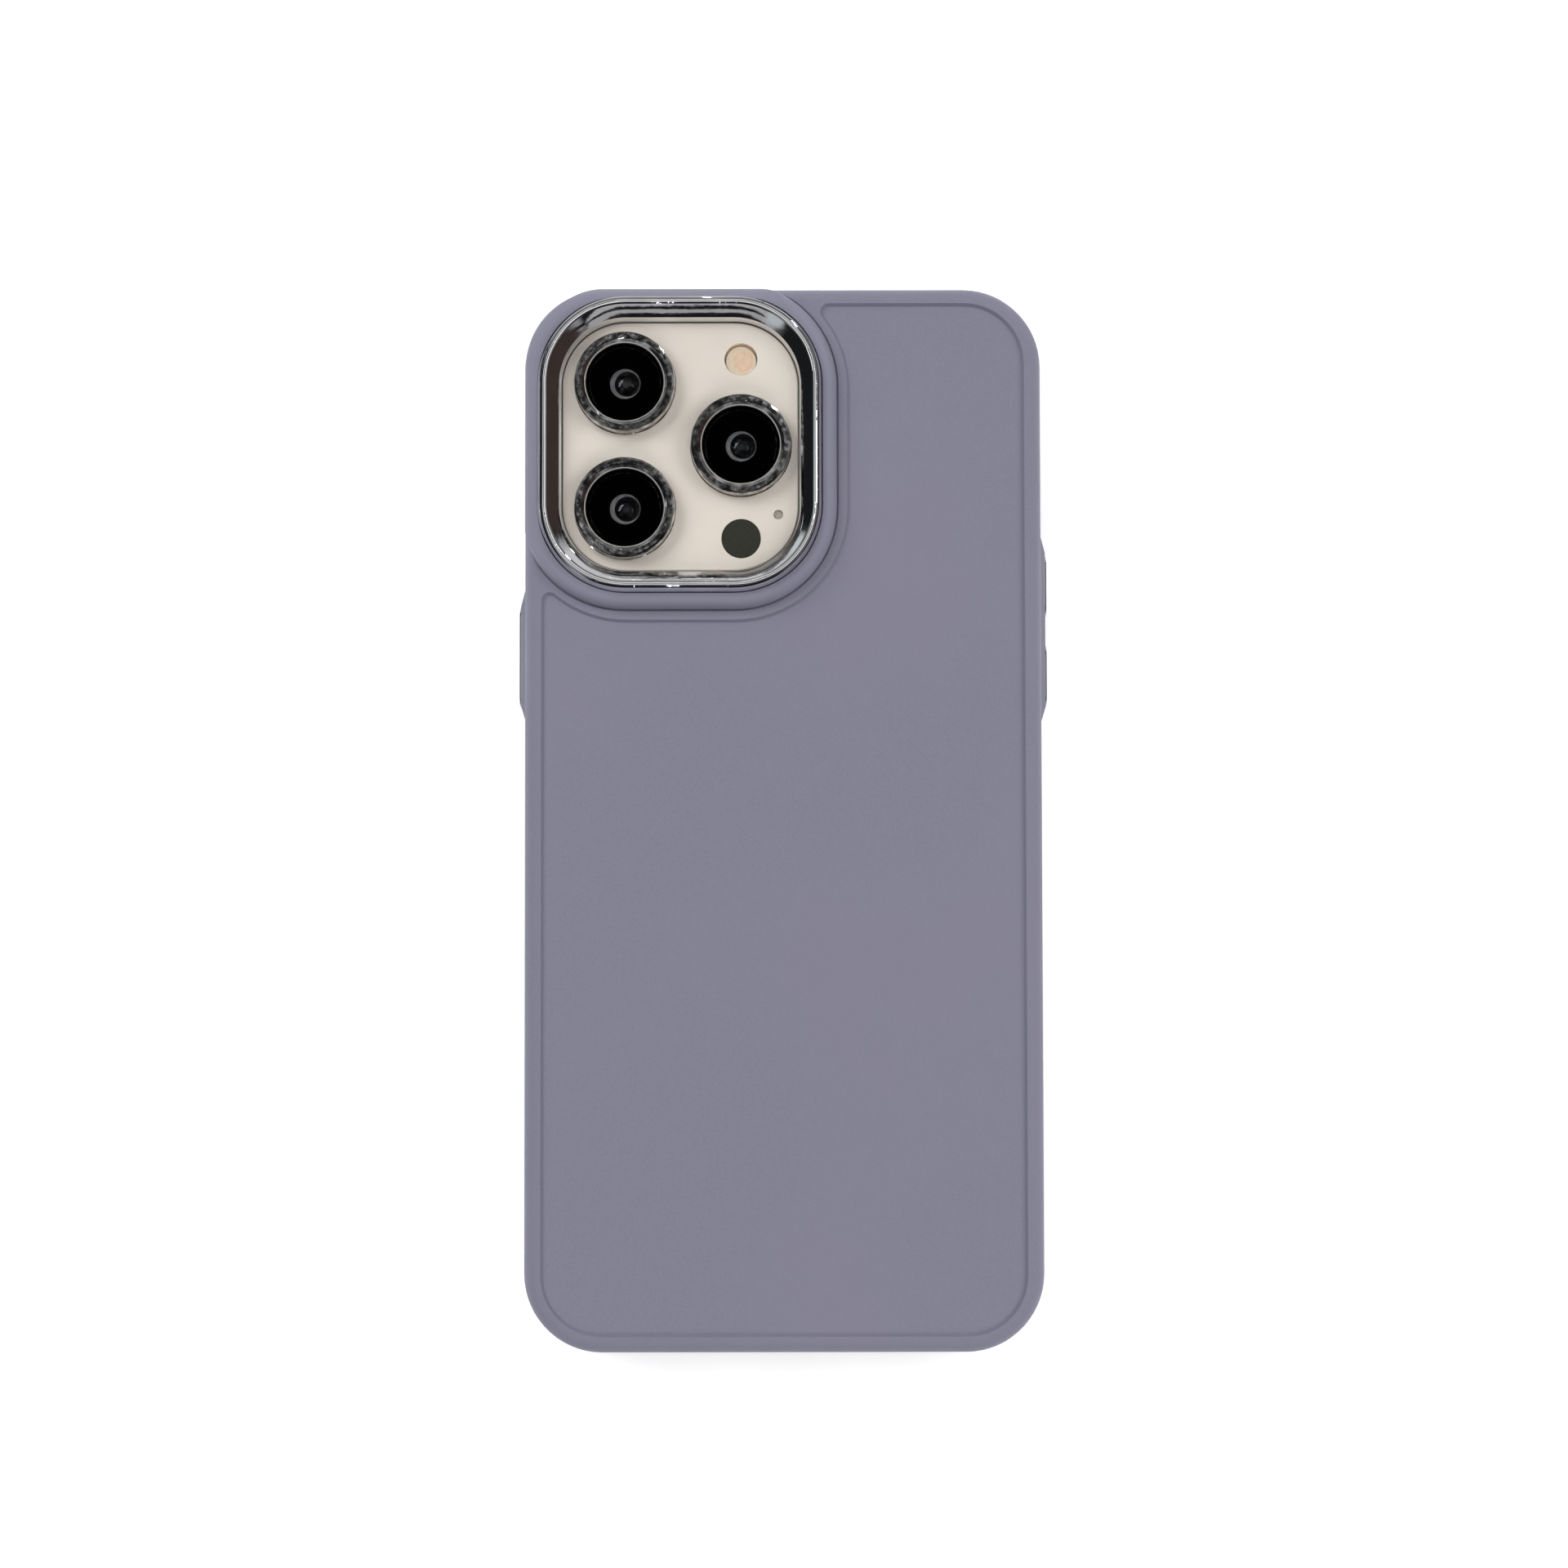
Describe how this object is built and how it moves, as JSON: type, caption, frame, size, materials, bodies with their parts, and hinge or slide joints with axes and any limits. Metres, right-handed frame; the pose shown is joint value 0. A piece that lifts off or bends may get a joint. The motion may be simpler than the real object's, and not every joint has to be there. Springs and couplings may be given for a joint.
{
  "type": "smartphone in a soft cover",
  "caption": "Large smartphone lying on its screen, in a matte soft cover with a bright camera ring, a raised square camera block, sprung side buttons and a charging socket.",
  "frame": {"origin": "centre of the resting face, at the middle of the cover's outline, on the plane of the cover's front lip", "axes": "+Y towards the phone's top edge, +X towards the volume keys (right as seen from the camera side), +Z out of the camera side; the screen faces -Z"},
  "size_m": [0.0826, 0.1646, 0.0136],
  "materials": {
    "soft_cover": "matte soft-touch lavender grey",
    "cover_chrome": "mirror chrome plate on plastic",
    "band_metal": "polished warm silver",
    "antenna_plastic": "satin",
    "rear_glass": "frosted cream",
    "plateau_glass": "polished cream",
    "lens_metal": "polished dark steel",
    "lens_glass": "clear, coated",
    "optic_glass": "coated dome",
    "optic_black": "matte black",
    "barrel_plastic": "satin black with a bright bevel",
    "module_metal": "satin",
    "sensor_board": "solder mask",
    "flash_clear": "clear",
    "flash_emitter": "phosphor",
    "sensor_window": "dark smoked",
    "mesh_metal": "fine woven mesh",
    "screen_glass": "polished",
    "seal_black": "matte",
    "display": "dark, unlit",
    "shield_metal": "satin",
    "chassis_metal": "satin",
    "battery_wrap": "foil wrap",
    "board_mask": "solder mask",
    "coil_copper": "bare copper wire",
    "ferrite": "matte sheet",
    "speaker_plastic": "matte",
    "haptic_metal": "satin",
    "haptic_weight": "sintered tungsten",
    "port_metal": "satin",
    "port_plastic": "matte",
    "screw_metal": "satin",
    "flex_film": "polyimide film",
    "switch_metal": "satin",
    "key_metal": "polished warm silver"
  },
  "bodies": {
    "phone": {"antenna_breaks": "antenna_plastic", "battery": "battery_wrap", "board_shields": "shield_metal", "bottom_microphone": "shield_metal", "bottom_screws": "screw_metal", "camera_bracket": "chassis_metal", "camera_housings": "module_metal", "camera_plateau": "plateau_glass", "charging_coil": "coil_copper", "charging_port_body": "port_plastic", "charging_port_shell": "port_metal", "charging_port_tongue": "port_plastic", "chassis_plate": "chassis_metal", "coil_ferrite": "ferrite", "cover_camera_ring": "cover_chrome", "cover_shell": "soft_cover", "depth_sensor_module": "optic_black", "depth_sensor_window": "sensor_window", "display_panel": "display", "display_shield": "shield_metal", "earpiece_mesh": "mesh_metal", "earpiece_speaker": "speaker_plastic", "flash_led": "flash_emitter", "flash_window": "flash_clear", "flex_cables": "flex_film", "front_camera_lens": "optic_glass", "front_camera_module": "optic_black", "grille_meshes": "mesh_metal", "haptic_case": "haptic_metal", "haptic_lid": "haptic_metal", "inner_screws": "screw_metal", "key_switches": "switch_metal", "lens_baffles": "optic_black", "lens_glasses": "lens_glass", "lens_ring_lower": "lens_metal", "lens_ring_side": "lens_metal", "lens_ring_upper": "lens_metal", "logic_board": "board_mask", "loudspeaker": "speaker_plastic", "rear_glass": "rear_glass", "rear_mic_mesh": "mesh_metal", "screen_gasket": "seal_black", "screen_glass": "screen_glass", "sensor_boards": "sensor_board", "side_band": "band_metal"},
    "power key": {"power_key": "key_metal"},
    "volume up key": {"volume_up_key": "key_metal"},
    "volume down key": {"volume_down_key": "key_metal"},
    "power button": {"cover_power_button": "cover_chrome"},
    "volume up button": {"cover_volume_up_button": "cover_chrome"},
    "volume down button": {"cover_volume_down_button": "cover_chrome"},
    "alert slider": {"alert_slider": "key_metal"},
    "haptic mass": {"haptic_mass": "haptic_weight"},
    "upper lens group": {"lens_barrel_upper": "barrel_plastic", "front_element_upper": "optic_glass"},
    "lower lens group": {"lens_barrel_lower": "barrel_plastic", "front_element_lower": "optic_glass"},
    "side lens group": {"lens_barrel_side": "barrel_plastic", "front_element_side": "optic_glass"}
  },
  "joints": [
    {"name": "power press", "type": "slide", "parent": "phone", "child": "power button", "axis": [1, 0, 0], "range_m": [0, 0.0003], "stiffness_N_per_m": 5000},
    {"name": "power key press", "type": "slide", "parent": "phone", "child": "power key", "axis": [1, 0, 0], "range_m": [0, 0.0003], "stiffness_N_per_m": 5000},
    {"name": "volume up press", "type": "slide", "parent": "phone", "child": "volume up button", "axis": [-1, 0, 0], "range_m": [0, 0.0003], "stiffness_N_per_m": 5000},
    {"name": "volume up key press", "type": "slide", "parent": "phone", "child": "volume up key", "axis": [-1, 0, 0], "range_m": [0, 0.0003], "stiffness_N_per_m": 5000},
    {"name": "volume down press", "type": "slide", "parent": "phone", "child": "volume down button", "axis": [-1, 0, 0], "range_m": [0, 0.0003], "stiffness_N_per_m": 5000},
    {"name": "volume down key press", "type": "slide", "parent": "phone", "child": "volume down key", "axis": [-1, 0, 0], "range_m": [0, 0.0003], "stiffness_N_per_m": 5000},
    {"name": "alert slide", "type": "slide", "parent": "phone", "child": "alert slider", "axis": [0, 0, 1], "range_m": [0, 0.0011]},
    {"name": "haptic shake", "type": "slide", "parent": "phone", "child": "haptic mass", "axis": [1, 0, 0], "range_m": [-0.0008, 0.0008], "stiffness_N_per_m": 6000},
    {"name": "upper focus", "type": "slide", "parent": "phone", "child": "upper lens group", "axis": [0, 0, 1], "range_m": [0, 0.0003], "stiffness_N_per_m": 2000},
    {"name": "lower focus", "type": "slide", "parent": "phone", "child": "lower lens group", "axis": [0, 0, 1], "range_m": [0, 0.0003], "stiffness_N_per_m": 2000},
    {"name": "side focus", "type": "slide", "parent": "phone", "child": "side lens group", "axis": [0, 0, 1], "range_m": [0, 0.0003], "stiffness_N_per_m": 2000}
  ],
  "couplings": [
    {"joint": "power key press", "follows": "power press", "ratio": 1},
    {"joint": "volume up key press", "follows": "volume up press", "ratio": 1},
    {"joint": "volume down key press", "follows": "volume down press", "ratio": 1}
  ]
}
